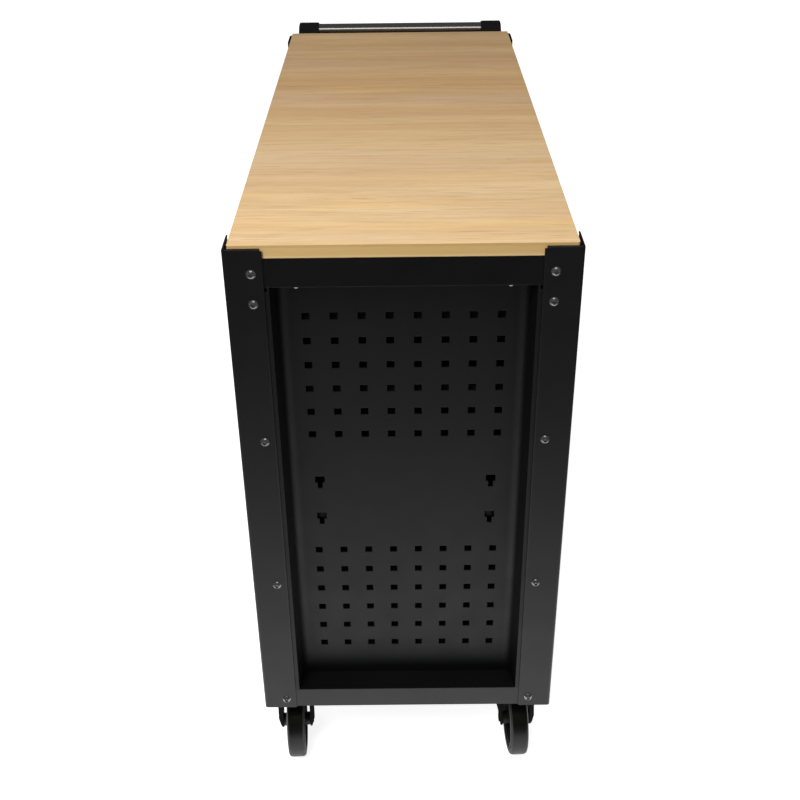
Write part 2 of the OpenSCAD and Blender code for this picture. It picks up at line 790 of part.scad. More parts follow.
module castor_plates()
    color([0.6, 0.61, 0.63]) in_place()
        for (right = [false, true], rear = [false, true]) end(right) plate_spot(rear) {
            difference() {
                translate([0, 0, castor_h - plate_t]) linear_extrude(plate_t)
                    translate([-plate_l / 2, -plate_w / 2]) rounded([plate_l, plate_w], 8);
                plate_holes(castor_h - plate_t - 1, plate_t + 2);
            }
            translate([0, 0, crown_top + swivel_gap]) cylinder(r = race_r, h = race_h + eps);
            translate([0, 0, crown_foot - swivel_gap - 1])
                cylinder(r = kingpin_r, h = crown_t + swivel_gap + 2);
            translate([0, 0, crown_foot - swivel_gap - kingpin_head_h])
                cylinder(r = kingpin_head_r, h = kingpin_head_h);
        }

module castor_bolts()
    color([0.6, 0.61, 0.63]) in_place()
        for (right = [false, true], rear = [false, true], x = [-1, 1], y = [-1, 1])
            end(right) plate_spot(rear) translate([x * plate_bolt_x / 2, y * plate_bolt_y / 2, 0]) {
                foot = castor_h - plate_t;
                top = castor_h + post_t;
                translate([0, 0, foot]) cylinder(r = plate_bolt_r, h = plate_t + post_t + 8);
                translate([0, 0, foot - 3.5]) cylinder(r = 6.5, h = 3.5, $fn = 6);
                translate([0, 0, top]) difference() {
                    cylinder(r = 6.5, h = 6, $fn = 6);
                    translate([0, 0, -eps]) cylinder(r = plate_bolt_r + screw_clear, h = 7);
                }
            }

module leg_outline(margin) strap(fork_head, fork_head_r - margin, [-trail, axle_z], fork_foot_r - margin);

// Cut that narrows a leg's rim to almost nothing at the axle
module rim_cut() {
    root = fork_half + fork_t + 0.5;
    crest = fork_half + fork_t + fork_rim;
    translate([-trail - 2 * fork_head_r, 0, 0]) rotate([90, 0, 90]) linear_extrude(4 * fork_head_r)
        polygon([[crest, axle_z + 12], [crest + 1, axle_z + 12], [crest + 1, 0], [root, 0],
                 [root, axle_z - 6]]);
}

// Pressed fork: round crown, two legs with an outward rim all round, and the axle bolt
module castor_fork(k)
    color([0.1, 0.1, 0.105]) in_place() castor_spot(k) {
        difference() {
            union() {
                translate([0, 0, crown_foot]) cylinder(r1 = crown_r, r2 = crown_r - 4, h = crown_t);
                for (s = [0, 1]) mirror([0, s, 0]) {
                    translate([0, fork_half + fork_t, 0]) rotate([90, 0, 0])
                        linear_extrude(fork_t) leg_outline(0);
                    translate([0, fork_half + fork_t + fork_rim, 0]) rotate([90, 0, 0])
                        linear_extrude(fork_rim + eps) difference() {
                            leg_outline(0);
                            leg_outline(fork_t);
                        }
                }
            }
            translate([0, 0, crown_foot - 5]) cylinder(r = kingpin_r + run_clear, h = crown_t + 10);
            translate([-trail, 0, axle_z]) rotate([90, 0, 0])
                cylinder(r = axle_r + screw_clear, h = 3 * fork_gap, center = true);
            translate([0, 0, crown_top]) cylinder(r = crown_r + 5, h = 10);
            if (castors[k][0]) translate([pivot[0], 0, pivot[1]]) rotate([90, 0, 0])
                cylinder(r = pedal_pin_r + run_clear, h = 3 * fork_gap, center = true);
            for (s = [0, 1]) mirror([0, s, 0]) rim_cut();
        }
        translate([-trail, 0, axle_z]) rotate([90, 0, 0]) {
            reach = fork_half + fork_t;
            cylinder(r = axle_r, h = 2 * reach + 2, center = true);
            translate([0, 0, reach]) cylinder(r = axle_head_r, h = axle_head_h, $fn = 6);
            translate([0, 0, -reach - axle_head_h])
                cylinder(r = axle_head_r, h = axle_head_h, $fn = 6);
        }
    }

module wheel_axis(k) castor_spot(k) translate([-trail, 0, axle_z]) rotate([90, 0, 0]) children();

// Ribbed hub turning on the axle
module castor_hub(k)
    color([0.09, 0.09, 0.1]) in_place() wheel_axis(k) difference() {
        boss_half = fork_half - 0.4;
        rim_half = tyre_w / 2 - 2.5;
        union() {
            cylinder(r = 11, h = 2 * boss_half, center = true);
            cylinder(r = hub_r - 3, h = 6, center = true);
            difference() {
                cylinder(r = hub_r, h = 2 * rim_half, center = true);
                cylinder(r = hub_r - 6, h = 2 * rim_half + 2, center = true);
            }
            for (a = [0:60:300]) rotate(a) translate([9, -1.5, -rim_half + 3])
                cube([hub_r - 13, 3, 2 * rim_half - 6]);
        }
        cylinder(r = axle_r + run_clear, h = 3 * fork_gap, center = true);
    }

// Tyre with a flat tread and round shoulders
module tyre_section() {
    half = tyre_w / 2;
    core = half - tyre_shoulder;
    intersection() {
        union() {
            translate([0, -core]) square([wheel_r, 2 * core]);
            for (s = [-1, 1]) translate([wheel_r - tyre_shoulder, s * core]) circle(tyre_shoulder);
        }
        translate([hub_r, -half]) square([wheel_r - hub_r, tyre_w]);
    }
}

module castor_tyre(k)
    color([0.2, 0.2, 0.2]) in_place() wheel_axis(k) rotate_extrude($fn = 72) tyre_section();

// Brake pedal: curved shoe over the tyre, ribbed foot plate and pivot pin
module brake_pedal(k)
    color([0.1, 0.1, 0.105]) in_place() castor_spot(k) {
        wheel = [-trail, axle_z];
        start = atan2(pivot[1] - wheel[1], pivot[0] - wheel[0]);
        finish = 140;
        slope = 188;
        tip = wheel + (shoe_r + pedal_t / 2) * [cos(finish), sin(finish)];
        reach = 2 * shoe_r;
        eye_far = norm(pivot - wheel);
        rotate([90, 0, 0]) linear_extrude(2 * fork_half - 4, center = true) {
            intersection() {
                translate(wheel) difference() {
                    circle(shoe_r + pedal_t, $fn = 96);
                    circle(shoe_r, $fn = 96);
                }
                polygon([wheel, wheel + reach * [cos(start), sin(start)],
                         wheel + reach * [cos((start + finish) / 2), sin((start + finish) / 2)],
                         wheel + reach * [cos(finish), sin(finish)]]);
            }
            translate(pivot) circle(pedal_pin_r + 2);
            translate(wheel) rotate(start) translate([min(shoe_r, eye_far), -pedal_pin_r])
                square([abs(eye_far - shoe_r) + pedal_t, 2 * pedal_pin_r]);
            translate(tip) rotate(slope) translate([-2, -pedal_t / 2]) square([pedal_l, pedal_t]);
            for (i = [0:3]) translate(tip) rotate(slope)
                translate([pedal_l - 6 - i * 6, -pedal_t / 2 - 1.5]) square([3, 2]);
        }
        translate([pivot[0], 0, pivot[1]]) rotate([90, 0, 0])
            cylinder(r = pedal_pin_r, h = 2 * (fork_half + fork_t) + 3, center = true);
    }

corner_post(false, false);  // corner_post_front_left
corner_post(true, false);  // corner_post_front_right
corner_post(false, true);  // corner_post_rear_left
corner_post(true, true);  // corner_post_rear_right
end_top_rail(false);  // end_top_rail_left
end_top_rail(true);  // end_top_rail_right
long_top_rail(false);  // front_top_rail
long_top_rail(true);  // rear_top_rail
base_tray();
castor_beams();
end_panel(false);  // end_panel_left
end_panel(true);  // end_panel_right
rear_panel();
centre_partition();
worktop();
worktop_screws();
frame_bolts();
slide_uprights();
slide_tracks();
castor_plates();
castor_bolts();
handle_tube();
handle_brackets();
lock_housing();
lock_plug();
castor_fork(0);  // castor_fork_front_left
castor_hub(0);  // castor_hub_front_left
castor_tyre(0);  // castor_tyre_front_left
castor_fork(1);  // castor_fork_rear_left
castor_hub(1);  // castor_hub_rear_left
castor_tyre(1);  // castor_tyre_rear_left
castor_fork(2);  // castor_fork_front_right
castor_hub(2);  // castor_hub_front_right
castor_tyre(2);  // castor_tyre_front_right
castor_fork(3);  // castor_fork_rear_right
castor_hub(3);  // castor_hub_rear_right
castor_tyre(3);  // castor_tyre_rear_right
brake_pedal(2);  // brake_pedal_front_right
brake_pedal(3);  // brake_pedal_rear_right
drawer(0, 0);  // drawer_left_1
drawer_runners(0, 0);  // drawer_runners_left_1
slide_carriages(0, 0);  // slide_carriages_left_1
drawer(0, 1);  // drawer_left_2
drawer_runners(0, 1);  // drawer_runners_left_2
slide_carriages(0, 1);  // slide_carriages_left_2
drawer(0, 2);  // drawer_left_3
drawer_runners(0, 2);  // drawer_runners_left_3
slide_carriages(0, 2);  // slide_carriages_left_3
drawer(0, 3);  // drawer_left_4
drawer_runners(0, 3);  // drawer_runners_left_4
slide_carriages(0, 3);  // slide_carriages_left_4
drawer(1, 0);  // drawer_right_1
drawer_runners(1, 0);  // drawer_runners_right_1
slide_carriages(1, 0);  // slide_carriages_right_1
drawer(1, 1);  // drawer_right_2
drawer_runners(1, 1);  // drawer_runners_right_2
slide_carriages(1, 1);  // slide_carriages_right_2
drawer(1, 2);  // drawer_right_3
drawer_runners(1, 2);  // drawer_runners_right_3
slide_carriages(1, 2);  // slide_carriages_right_3
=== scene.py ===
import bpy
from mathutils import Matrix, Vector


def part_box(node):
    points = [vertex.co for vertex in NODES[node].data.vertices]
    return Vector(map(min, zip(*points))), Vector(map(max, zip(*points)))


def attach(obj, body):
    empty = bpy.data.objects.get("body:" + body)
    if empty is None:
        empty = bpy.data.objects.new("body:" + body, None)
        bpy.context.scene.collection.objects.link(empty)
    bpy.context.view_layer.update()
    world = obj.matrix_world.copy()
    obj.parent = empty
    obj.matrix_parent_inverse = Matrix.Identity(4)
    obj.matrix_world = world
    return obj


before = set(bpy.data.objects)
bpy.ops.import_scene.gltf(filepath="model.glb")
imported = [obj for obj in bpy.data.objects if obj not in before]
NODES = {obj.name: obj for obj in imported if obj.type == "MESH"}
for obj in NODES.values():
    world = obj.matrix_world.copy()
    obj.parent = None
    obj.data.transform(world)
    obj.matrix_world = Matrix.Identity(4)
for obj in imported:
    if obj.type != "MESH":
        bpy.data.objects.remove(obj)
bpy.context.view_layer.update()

import math

import bmesh
import bpy
from mathutils import Matrix, Vector

# Places taken from the frame
POST_LOW, POST_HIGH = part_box("corner_post_front_left")
END_X = POST_LOW.x
HALF_WIDTH = -POST_LOW.y
POST_TOP = POST_HIGH.z
WORKTOP_LOW, WORKTOP_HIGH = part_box("worktop")
CASTORS = ("front_left", "rear_left", "front_right", "rear_right")

# Sizes as the part's source has them, in metres and radians
TYRE_WIDTH = 0.029
CASTOR_TURN = math.radians(3)
FRONT_INSET = 0.016
FRONT_DEPTH = 0.014

# Beads round each wheel: name, radius, thickness, depth inside the tyre's flank, finish, slot
BEADS = [
    # The ring on each tyre's shoulder is a painted highlight: paler rubber standing in for the
    # shoulder catching the light
    ("tyre_shoulder_highlight", 0.0602, 0.0008, 0.0020, "shoulder_highlight", "tyre_rubber"),
    ("hub_bead", 0.0503, 0.0010, 0.0002, "bead", "hub_plastic"),
]

# Worktop's edge in metres: where the dark layer under the face and the pale one at the foot blend
FACE_LAYER = (0.0045, 0.0030)
FOOT_LAYER = (0.0020, 0.0040)

# Along the length, where the redder stretch of the board starts and where it eases
REDDER_FROM = (-0.18, 0.10)
REDDER_UNTIL = (0.28, 0.48)

# Floor's glow in reflections, a painted pool of light beside the cabinet: its strength, the
# distance where it has halved and how steeply it falls
GLOW = 1.35
GLOW_REACH = 0.62
GLOW_FALL = 2.6

# Share of the glow left under the cabinet, a painted shadow in reflections, and where it fades in
# across the footprint's edge
UNDER_GLOW = 0.04
UNDER_SPAN = (-0.10, 0.04)

# Pale far end of the studio in reflections: its strength, and where it fades in and out
BACKDROP = 0.5
BACKDROP_START = (4.3, 4.6)
BACKDROP_END = (7.0, 7.5)

# The floor's own white near the cabinet, before the lamps are added, and where it turns plain
SHADOW_WHITE = 0.86
SHADOW_SPAN = (0.3, 1.5)

FLOOR_REACH = 14
WORLD_GREY = 0.10

# Softboxes: place, target, width and height, watts, and whether metal and gloss mirror it
LAMPS = {
    "key_softbox": ((-2.0, 0.8, 2.6), (-0.3, 0, 0.8), (1.2, 1.2), 67, False),
    "glint_lamp": ((-1.6, 0.05, 3.0), (0, 0, 0.95), (1.7, 0.8), 8, True),
    "top_softbox": ((-0.3, 0, 2.9), (-0.3, 0, 0.95), (1.0, 1.4), 4, False),
    "left_softbox": ((-0.4, 2.6, 1.7), (0, 0, 0.6), (1.4, 1.4), 11, False),
    "right_softbox": ((-0.4, -2.6, 1.7), (0, 0, 0.6), (1.4, 1.4), 11, False),
}

# The photograph's camera, in metres and degrees, with its lens and sensor in millimetres
CAMERA_BACK = 1.3390
CAMERA_RISE = 0.5841
CAMERA_SIDE = 0.0031
CAMERA_PITCH = 31.142
CAMERA_YAW = 0.138
CAMERA_ROLL = -0.666
CAMERA_LENS = 51.446
SENSOR = 36.0

# Finish of each node, by the first prefix that its name starts with
FINISH_OF = [
    ("corner_post", "post"), ("base_tray", "post"),
    ("end_top_rail", "rail"), ("front_top_rail", "rail"), ("rear_top_rail", "rail"),
    ("castor_beams", "rail"), ("centre_partition", "rail"),
    ("end_panel", "panel"), ("rear_panel", "panel"),
    ("worktop_screws", "yellow"), ("worktop", "oak"), ("frame_bolts", "bolt"),
    ("drawer_runners", "slide"), ("slide_", "slide"), ("drawer_", "drawer"),
    ("castor_plates", "zinc"), ("castor_bolts", "zinc"),
    ("castor_fork", "fork"), ("brake_pedal", "fork"),
    ("castor_hub", "hub"), ("castor_tyre", "tyre"),
    ("handle_tube", "chrome"), ("handle_brackets", "bracket"), ("lock_", "chrome"),
]


# Material building

def new_material(name):
    """An empty node material and its Principled shader."""
    mat = bpy.data.materials.new(name)
    mat.use_nodes = True
    tree = mat.node_tree
    tree.nodes.clear()
    out = tree.nodes.new("ShaderNodeOutputMaterial")
    shader = tree.nodes.new("ShaderNodeBsdfPrincipled")
    tree.links.new(shader.outputs["BSDF"], out.inputs["Surface"])
    return mat, tree, shader


def add(tree, kind, **values):
    """A node whose named inputs or properties are set."""
    node = tree.nodes.new(kind)
    for key, value in values.items():
        if key in node.inputs:
            node.inputs[key].default_value = value
        else:
            setattr(node, key, value)
    return node


def feed(tree, socket, value):
    """Links an input to another node's output, or sets it to a plain value."""
    if isinstance(value, bpy.types.NodeSocket):
        tree.links.new(value, socket)
    else:
        socket.default_value = value


def place(tree, scale=(1, 1, 1), turn=(0, 0, 0)):
    """Object coordinates, stretched and turned."""
    coords = tree.nodes.new("ShaderNodeTexCoord")
    mapping = add(tree, "ShaderNodeMapping", Scale=scale, Rotation=turn)
    tree.links.new(coords.outputs["Object"], mapping.inputs["Vector"])
    return mapping.outputs["Vector"]


def object_axes(tree):
    """Object coordinates along X, Y and Z."""
    axes = tree.nodes.new("ShaderNodeSeparateXYZ")
    tree.links.new(place(tree), axes.inputs[0])
    return axes.outputs["X"], axes.outputs["Y"], axes.outputs["Z"]


def noise(tree, vector, scale, detail=2.0, rough=0.5, distortion=0.0):
    """Fractal noise about the middle of 0 to 1."""
    node = add(tree, "ShaderNodeTexNoise", Scale=scale, Detail=detail, Roughness=rough,
               Distortion=distortion)
    tree.links.new(vector, node.inputs["Vector"])
    return node.outputs["Fac"]


def ramp(tree, factor, stops):
    """Colour ramp from (position, colour) stops."""
    node = tree.nodes.new("ShaderNodeValToRGB")
    elements = node.color_ramp.elements
    while len(elements) < len(stops):
        elements.new(0.5)
    for element, (position, colour) in zip(elements, stops):
        element.position = position
        element.color = (*colour, 1)
    tree.links.new(factor, node.inputs["Fac"])
    return node.outputs["Color"]


def spread(tree, factor, low, high, start=0.3, stop=0.7):
    """Maps start to stop, by default the middle of a 0 to 1 factor, onto low to high."""
    node = tree.nodes.new("ShaderNodeMapRange")
    for key, value in zip(("From Min", "From Max", "To Min", "To Max"), (start, stop, low, high)):
        node.inputs[key].default_value = value
    tree.links.new(factor, node.inputs["Value"])
    return node.outputs["Result"]


def mixed(tree, factor, a, b, blend="MIX"):
    """Mixes two colours; a factor or colour may be a plain value."""
    node = tree.nodes.new("ShaderNodeMix")
    node.data_type = "RGBA"
    node.blend_type = blend
    feed(tree, node.inputs["Factor"], factor)
    feed(tree, node.inputs[6], a)
    feed(tree, node.inputs[7], b)
    return node.outputs[2]


def sums(tree, operation, a, b, clamp=False):
    """Math node of two values, each a socket or a number."""
    node = add(tree, "ShaderNodeMath", operation=operation, use_clamp=clamp)
    feed(tree, node.inputs[0], a)
    feed(tree, node.inputs[1], b)
    return node.outputs[0]


def bumped(tree, shader, heights, rounding=0.0):
    """Chains bumps of (height, strength, depth in metres) over edges rounded by a small radius."""
    normal = None
    if rounding:
        normal = add(tree, "ShaderNodeBevel", samples=4, Radius=rounding).outputs["Normal"]
    for height, strength, depth in heights:
        bump = add(tree, "ShaderNodeBump", Strength=strength, Distance=depth)
        tree.links.new(height, bump.inputs["Height"])
        if normal:
            tree.links.new(normal, bump.inputs["Normal"])
        normal = bump.outputs["Normal"]
    tree.links.new(normal, shader.inputs["Normal"])


# Finishes

def powder_coat(name, dark, light, gloss=0.38, rounding=0.0012, shine=0.5):
    """Black powder coat: orange peel, faint cloudiness, softly rounded edges."""
    mat, tree, shader = new_material(name)
    shader.inputs["Specular IOR Level"].default_value = shine
    at = place(tree)
    cloud = ramp(tree, noise(tree, at, 5, 4), [(0.35, dark), (0.65, light)])
    tree.links.new(cloud, shader.inputs["Base Color"])
    patchy = spread(tree, noise(tree, at, 22, 3), gloss - 0.04, gloss + 0.04)
    tree.links.new(patchy, shader.inputs["Roughness"])
    peel = (noise(tree, at, 750, 2), 0.12, 0.0002)
    specks = (noise(tree, at, 2600, 1), 0.06, 0.0001)
    bumped(tree, shader, [peel, specks], rounding)
    return mat


def drawer_coat(name):
    """The frame's black coat, left dull on the tub behind the drawer's front."""
    mat = powder_coat(name, (0.0034, 0.0034, 0.0036), (0.0046, 0.0046, 0.0048))
    tree = mat.node_tree
    shader = next(node for node in tree.nodes if node.type == "BSDF_PRINCIPLED")
    back = POST_LOW.y + FRONT_INSET + FRONT_DEPTH
    depth = object_axes(tree)[1]
    dull = spread(tree, depth, 0.0, 0.6, back - 0.001, back)
    patchy = shader.inputs["Roughness"].links[0].from_socket
    tree.links.new(sums(tree, "ADD", patchy, dull, True), shader.inputs["Roughness"])
    return mat


def oak(name):
    """Light oak laminate with its grain across the cabinet and a layered edge."""
    mat, tree, shader = new_material(name)

    def grain(fine, long, detail, rough=0.5, warp=0.0, turn=0.0):
        """Noise drawn out along the grain."""
        stretched = place(tree, (fine, long, fine), (0, 0, turn))
        return noise(tree, stretched, 1.0, detail, rough, warp)

    streak = grain(190, 6.5, 4, 0.6)
    pore = grain(1100, 36, 2)
    wood = ramp(tree, grain(11, 0.5, 5, 0.55, 0.6), [(0.34, (0.63, 0.405, 0.200)),
                                                     (0.48, (0.73, 0.505, 0.265)),
                                                     (0.64, (0.80, 0.590, 0.335))])

    # Each tint: its noise, its strongest mix, where it starts and peaks, and its colour
    tints = [
        (grain(4.5, 0.9, 3, turn=0.4), 0.55, 0.42, 0.66, (0.70, 0.460, 0.245, 1)),
        (grain(17, 1.0, 4, 0.6, 0.8, 0.03), 0.75, 0.50, 0.68, (0.83, 0.550, 0.245, 1)),
        (grain(9, 0.8, 4, 0.6, 0.5, -0.02), 0.60, 0.50, 0.70, (0.71, 0.530, 0.350, 1)),
        (grain(38, 1.9, 6, 0.66, 1.2), 0.44, 0.44, 0.66, (0.60, 0.370, 0.175, 1)),
        (streak, 0.34, 0.48, 0.72, (0.53, 0.325, 0.155, 1)),
        (grain(330, 12, 3, 0.55, turn=0.01), 0.55, 0.58, 0.74, (0.42, 0.245, 0.115, 1)),
        (pore, 0.40, 0.60, 0.72, (0.42, 0.260, 0.130, 1)),
    ]
    for spots, most, start, stop, colour in tints:
        wood = mixed(tree, spread(tree, spots, 0.0, most, start, stop), wood, colour)

    along, _, height = object_axes(tree)
    redder = sums(tree, "MULTIPLY", spread(tree, along, 0.0, 1.0, *REDDER_FROM),
                  spread(tree, along, 1.0, 0.4, *REDDER_UNTIL))
    wood = mixed(tree, redder, wood, (0.93, 0.875, 0.84, 1), "MULTIPLY")

    top, foot = WORKTOP_HIGH.z, WORKTOP_LOW.z
    face = spread(tree, height, 0.0, 1.0, top - 0.0002, top - 0.0001)
    upper = spread(tree, height, 0.0, 1.0, top - FACE_LAYER[0], top - FACE_LAYER[1])
    lower = spread(tree, height, 1.0, 0.0, foot + FOOT_LAYER[0], foot + FOOT_LAYER[1])
    edge = mixed(tree, upper, (0.47, 0.305, 0.105, 1), (0.41, 0.25, 0.080, 1))
    edge = mixed(tree, lower, edge, (0.56, 0.395, 0.175, 1))
    edge = mixed(tree, 0.20, edge, wood)
    tree.links.new(mixed(tree, face, edge, wood), shader.inputs["Base Color"])
    tree.links.new(spread(tree, streak, 0.42, 0.56), shader.inputs["Roughness"])
    shader.inputs["Specular IOR Level"].default_value = 0.35
    bumped(tree, shader, [(pore, 0.10, 0.0002), (streak, 0.05, 0.0003)], 0.0006)
    return mat


def plated(name, colour, shade, gloss, metal=1.0):
    """Plated steel: crystalline cloudiness and fine rolling marks."""
    mat, tree, shader = new_material(name)
    at = place(tree)
    shader.inputs["Metallic"].default_value = metal
    crystals = spread(tree, noise(tree, at, 60, 4), 0, 1)
    tree.links.new(mixed(tree, crystals, colour, shade), shader.inputs["Base Color"])
    patchy = spread(tree, noise(tree, at, 180, 3), gloss - 0.06, gloss + 0.08)
    tree.links.new(patchy, shader.inputs["Roughness"])
    rolled = noise(tree, place(tree, (900, 30, 900)), 1.0, 2)
    bumped(tree, shader, [(rolled, 0.08, 0.0001)], 0.0004)
    return mat


def chrome(name):
    """Grey-brown chrome with faint polishing marks."""
    mat, tree, shader = new_material(name)
    shader.inputs["Metallic"].default_value = 1.0
    shader.inputs["Base Color"].default_value = (0.44, 0.42, 0.40, 1)
    marks = noise(tree, place(tree, (700, 12, 700)), 1.0, 3)
    tree.links.new(spread(tree, marks, 0.15, 0.21), shader.inputs["Roughness"])
    bumped(tree, shader, [(marks, 0.03, 0.0001)])
    return mat


def moulded(name, colour, light, gloss):
    """Moulded plastic with a spark-eroded grain."""
    mat, tree, shader = new_material(name)
    at = place(tree)
    cloud = spread(tree, noise(tree, at, 30, 3), 0, 1)
    tree.links.new(mixed(tree, cloud, colour, light), shader.inputs["Base Color"])
    patchy = spread(tree, noise(tree, at, 90, 2), gloss - 0.04, gloss + 0.05)
    tree.links.new(patchy, shader.inputs["Roughness"])
    bumped(tree, shader, [(noise(tree, at, 1500, 2), 0.15, 0.0002)], 0.0015)
    return mat


def rubber(name):
    """Black tyre rubber, worn and a little dusty."""
    mat, tree, shader = new_material(name)
    at = place(tree)
    dust = mixed(tree, spread(tree, noise(tree, at, 40, 5), 0, 1),
                 (0.0012, 0.0012, 0.0012, 1), (0.0028, 0.0026, 0.0024, 1))
    tree.links.new(dust, shader.inputs["Base Color"])
    tree.links.new(spread(tree, noise(tree, at, 120, 3), 0.31, 0.41), shader.inputs["Roughness"])
    shader.inputs["Specular IOR Level"].default_value = 0.42
    bumped(tree, shader, [(noise(tree, at, 900, 3), 0.2, 0.0002)], 0.001)
    return mat


def build_finishes():
    """Every finish by its short name."""
    return {
        "post": powder_coat("post_coat", (0.0030, 0.0030, 0.0032), (0.0042, 0.0042, 0.0044)),
        # The rail and panel coats are darker copies of the posts' black coat: painted shade, for
        # the rails under the worktop and for the panels set back in their recesses
        "rail": powder_coat("rail_coat_painted_shade", (0.0022, 0.0022, 0.0024), (0.0032, 0.0032, 0.0034),
                            rounding=0.0016, shine=0.36),
        "panel": powder_coat("panel_coat_painted_shade", (0.0018, 0.0018, 0.0020), (0.0026, 0.0026, 0.0028),
                             gloss=0.48, shine=0.47),
        "fork": powder_coat("fork_coat", (0.0015, 0.0015, 0.0015), (0.0022, 0.0022, 0.0022),
                            gloss=0.50, shine=0.18),
        "drawer": drawer_coat("drawer_coat"),
        "oak": oak("oak_laminate"),
        "bolt": plated("bolt_steel", (0.33, 0.33, 0.335, 1), (0.26, 0.26, 0.265, 1), 0.20, 0.94),
        "yellow": plated("yellow_zinc", (0.50, 0.44, 0.34, 1), (0.40, 0.35, 0.27, 1), 0.24),
        # Near-black slides: painted shade, so the cabinet's inside looks dark through the keyholes
        # and holes
        "slide": plated("slide_steel_painted_shade", (0.020, 0.020, 0.021, 1), (0.012, 0.012, 0.013, 1),
                        0.36, 0.7),
        "zinc": plated("bright_zinc", (0.52, 0.53, 0.55, 1), (0.44, 0.45, 0.47, 1), 0.30),
        "chrome": chrome("bright_chrome"),
        "bracket": moulded("bracket_plastic", (0.0030, 0.0030, 0.0032, 1),
                           (0.0045, 0.0045, 0.0047, 1), 0.5),
        "hub": moulded("hub_plastic", (0.012, 0.0115, 0.011, 1), (0.018, 0.017, 0.016, 1), 0.42),
        "tyre": rubber("tyre_rubber"),
        # Paler rubber for the painted highlight ring on each tyre's shoulder
        "shoulder_highlight": moulded("shoulder_highlight_rubber", (0.060, 0.055, 0.048, 1), (0.11, 0.10, 0.085, 1), 0.6),
        "bead": moulded("bead_grey", (0.12, 0.12, 0.12, 1), (0.16, 0.16, 0.155, 1), 0.5),
    }


def dress_frame(finishes):
    """Gives every solid of the frame its finish."""
    for name, node in NODES.items():
        finish = next(key for prefix, key in FINISH_OF if name.startswith(prefix))
        node.data.materials.clear()
        node.data.materials.append(finishes[finish])


# Castor details

def ring(bm, radius, height, thick):
    """Round bead closed about the Z axis."""
    verts = bmesh.ops.create_circle(bm, segments=8, radius=thick, cap_ends=False)["verts"]
    bmesh.ops.rotate(bm, verts=verts, matrix=Matrix.Rotation(math.pi / 2, 3, "X"))
    bmesh.ops.translate(bm, verts=verts, vec=(radius, 0, height))
    edges = list({edge for vert in verts for edge in vert.link_edges})
    bmesh.ops.spin(bm, geom=verts + edges, axis=(0, 0, 1), cent=(0, 0, 0), steps=96,
                   angle=2 * math.pi, use_merge=True)


def wheel_rings(name, part, radius, thick, sink, finish):
    """Pair of beads on the two flanks of a tyre, in the wheel's own place."""
    low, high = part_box(f"castor_tyre_{name}")
    turn = CASTOR_TURN if name.endswith("left") else 0.0
    half = TYRE_WIDTH / 2 - sink
    bm = bmesh.new()
    for height in (-half, half):
        ring(bm, radius, height, thick)
    bmesh.ops.recalc_face_normals(bm, faces=bm.faces)
    upright = Matrix.Rotation(turn, 4, "Z") @ Matrix.Rotation(math.pi / 2, 4, "X")
    place_at = Matrix.Translation((low + high) / 2) @ upright
    bmesh.ops.transform(bm, matrix=place_at, verts=bm.verts)
    mesh = bpy.data.meshes.new(f"{part}_{name}")
    bm.to_mesh(mesh)
    bm.free()
    mesh.shade_smooth()
    mesh.materials.append(finish)
    piece = bpy.data.objects.new(f"{part}_{name}", mesh)
    bpy.context.scene.collection.objects.link(piece)
    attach(piece, f"wheel_{name}")


def dress_castors(finishes):
    """Painted highlight on each tyre's shoulder, a pale ring, and the pale bead where the tyre
    meets its hub.
    """
    for name in CASTORS:
        for part, radius, thick, sink, finish, slot in BEADS:
            wheel_rings(name, part, radius, thick, sink, finishes[finish])


# The studio

def seen_plainly(tree):
    """1 on rays from the camera, or through something clear, and 0 on all others."""
    path = tree.nodes.new("ShaderNodeLightPath")
    return sums(tree, "ADD", path.outputs["Is Camera Ray"], path.outputs["Is Transmission Ray"],
                True)


def painted_floor_reflection(tree):
    """Floor's brightness in reflections, a painted pool of light that is full beside the footprint
    and falls away from it, with a painted shadow under it, and the floor's own white to the eye,
    which leaves room for the shadow."""
    coords = tree.nodes.new("ShaderNodeTexCoord")
    fold = add(tree, "ShaderNodeVectorMath", operation="ABSOLUTE")
    beyond = add(tree, "ShaderNodeVectorMath", operation="SUBTRACT")
    outside = add(tree, "ShaderNodeVectorMath", operation="MAXIMUM")
    length = add(tree, "ShaderNodeVectorMath", operation="LENGTH")
    axes = tree.nodes.new("ShaderNodeSeparateXYZ")
    beyond.inputs[1].default_value = (-END_X, HALF_WIDTH, 0)
    outside.inputs[1].default_value = (0, 0, 0)
    tree.links.new(coords.outputs["Object"], fold.inputs[0])
    tree.links.new(fold.outputs[0], beyond.inputs[0])
    tree.links.new(beyond.outputs[0], outside.inputs[0])
    tree.links.new(outside.outputs[0], length.inputs[0])
    tree.links.new(beyond.outputs[0], axes.inputs[0])
    far = length.outputs["Value"]

    falloff = sums(tree, "POWER", sums(tree, "MULTIPLY", far, 1 / GLOW_REACH), GLOW_FALL)
    glow = sums(tree, "DIVIDE", GLOW, sums(tree, "ADD", falloff, 1.0))
    inside = sums(tree, "MAXIMUM", axes.outputs["X"], axes.outputs["Y"])
    # Painted shadow: under the cabinet the reflected glow drops to UNDER_GLOW of its strength
    near = sums(tree, "MULTIPLY", glow, spread(tree, inside, UNDER_GLOW, 1.0, *UNDER_SPAN))

    backdrop = sums(tree, "MULTIPLY", spread(tree, far, 0.0, BACKDROP, *BACKDROP_START),
                    spread(tree, far, 1.0, 0.0, *BACKDROP_END))
    mirrored = sums(tree, "ADD", near, backdrop)
    return mirrored, spread(tree, far, SHADOW_WHITE, 1.0, *SHADOW_SPAN)


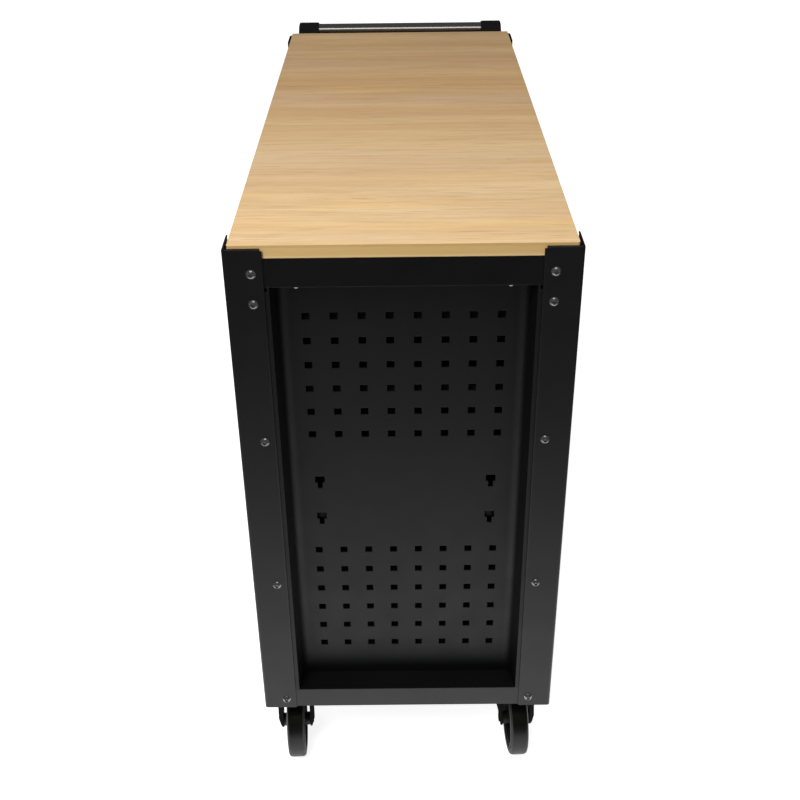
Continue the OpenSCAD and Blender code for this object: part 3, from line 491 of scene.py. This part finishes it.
def floor_material():
    """Matt white to the eye and to the lamps, and in reflections a painted pool of light round the
    cabinet with a painted shadow under it.
    """
    mat = bpy.data.materials.new("floor_white")
    mat.use_nodes = True
    tree = mat.node_tree
    tree.nodes.clear()
    out = tree.nodes.new("ShaderNodeOutputMaterial")
    matt = add(tree, "ShaderNodeBsdfDiffuse", Color=(0.8, 0.8, 0.8, 1))
    white = tree.nodes.new("ShaderNodeEmission")
    shine = tree.nodes.new("ShaderNodeEmission")
    both = tree.nodes.new("ShaderNodeAddShader")
    choose = tree.nodes.new("ShaderNodeMixShader")
    path = tree.nodes.new("ShaderNodeLightPath")
    mirrored, plain = painted_floor_reflection(tree)
    tree.links.new(sums(tree, "MULTIPLY", seen_plainly(tree), plain), white.inputs["Strength"])
    tree.links.new(mirrored, shine.inputs["Strength"])
    tree.links.new(matt.outputs[0], both.inputs[0])
    tree.links.new(white.outputs[0], both.inputs[1])
    tree.links.new(path.outputs["Is Glossy Ray"], choose.inputs[0])
    tree.links.new(both.outputs[0], choose.inputs[1])
    tree.links.new(shine.outputs[0], choose.inputs[2])
    tree.links.new(choose.outputs[0], out.inputs["Surface"])
    return mat


def build_floor():
    """Pale floor that keeps the cabinet's shadow."""
    mesh = bpy.data.meshes.new("floor")
    bm = bmesh.new()
    bmesh.ops.create_grid(bm, x_segments=1, y_segments=1, size=FLOOR_REACH)
    bm.to_mesh(mesh)
    bm.free()
    floor = bpy.data.objects.new("floor", mesh)
    bpy.context.scene.collection.objects.link(floor)
    mesh.materials.append(floor_material())


def build_world():
    """White to the camera, dim grey studio to everything else."""
    world = bpy.data.worlds.new("studio")
    bpy.context.scene.world = world
    world.use_nodes = True
    tree = world.node_tree
    tree.nodes.clear()
    out = tree.nodes.new("ShaderNodeOutputWorld")
    dim = add(tree, "ShaderNodeBackground", Color=(1, 1, 1, 1), Strength=WORLD_GREY)
    white = add(tree, "ShaderNodeBackground", Color=(1, 1, 1, 1), Strength=1.0)
    choose = tree.nodes.new("ShaderNodeMixShader")
    tree.links.new(seen_plainly(tree), choose.inputs[0])
    tree.links.new(dim.outputs[0], choose.inputs[1])
    tree.links.new(white.outputs[0], choose.inputs[2])
    tree.links.new(choose.outputs[0], out.inputs["Surface"])


def build_lights():
    """Area lamps, each facing its target."""
    for name, (place_at, target, size, power, mirrored) in LAMPS.items():
        data = bpy.data.lights.new(name, "AREA")
        data.shape = "RECTANGLE"
        data.size, data.size_y = size
        data.energy = power
        lamp = bpy.data.objects.new(name, data)
        bpy.context.scene.collection.objects.link(lamp)
        lamp.location = place_at
        lamp.visible_glossy = mirrored
        towards = Vector(target) - Vector(place_at)
        lamp.rotation_euler = towards.to_track_quat("-Z", "Y").to_euler()


def build_camera():
    """Stands where the photograph was taken: before the left end, above the worktop."""
    pitch, yaw, roll = (math.radians(a) for a in (CAMERA_PITCH, CAMERA_YAW, CAMERA_ROLL))
    forward = Vector((math.cos(yaw) * math.cos(pitch), math.sin(yaw) * math.cos(pitch),
                      -math.sin(pitch)))
    level = Vector((math.sin(yaw), -math.cos(yaw), 0))
    rise = level.cross(forward)
    right = math.cos(roll) * level + math.sin(roll) * rise
    up = -math.sin(roll) * level + math.cos(roll) * rise
    data = bpy.data.cameras.new("photo_camera")
    data.sensor_width = SENSOR
    data.lens = CAMERA_LENS
    data.clip_start, data.clip_end = 0.05, 60
    camera = bpy.data.objects.new("photo_camera", data)
    bpy.context.scene.collection.objects.link(camera)
    turn = Matrix((right, up, -forward)).transposed().to_4x4()
    spot = Vector((END_X - CAMERA_BACK, CAMERA_SIDE, POST_TOP + CAMERA_RISE))
    camera.matrix_world = Matrix.Translation(spot) @ turn
    bpy.context.scene.camera = camera


FINISHES = build_finishes()
dress_frame(FINISHES)
dress_castors(FINISHES)
build_floor()
build_world()
build_lights()
build_camera()
bpy.context.scene.view_settings.view_transform = "Standard"
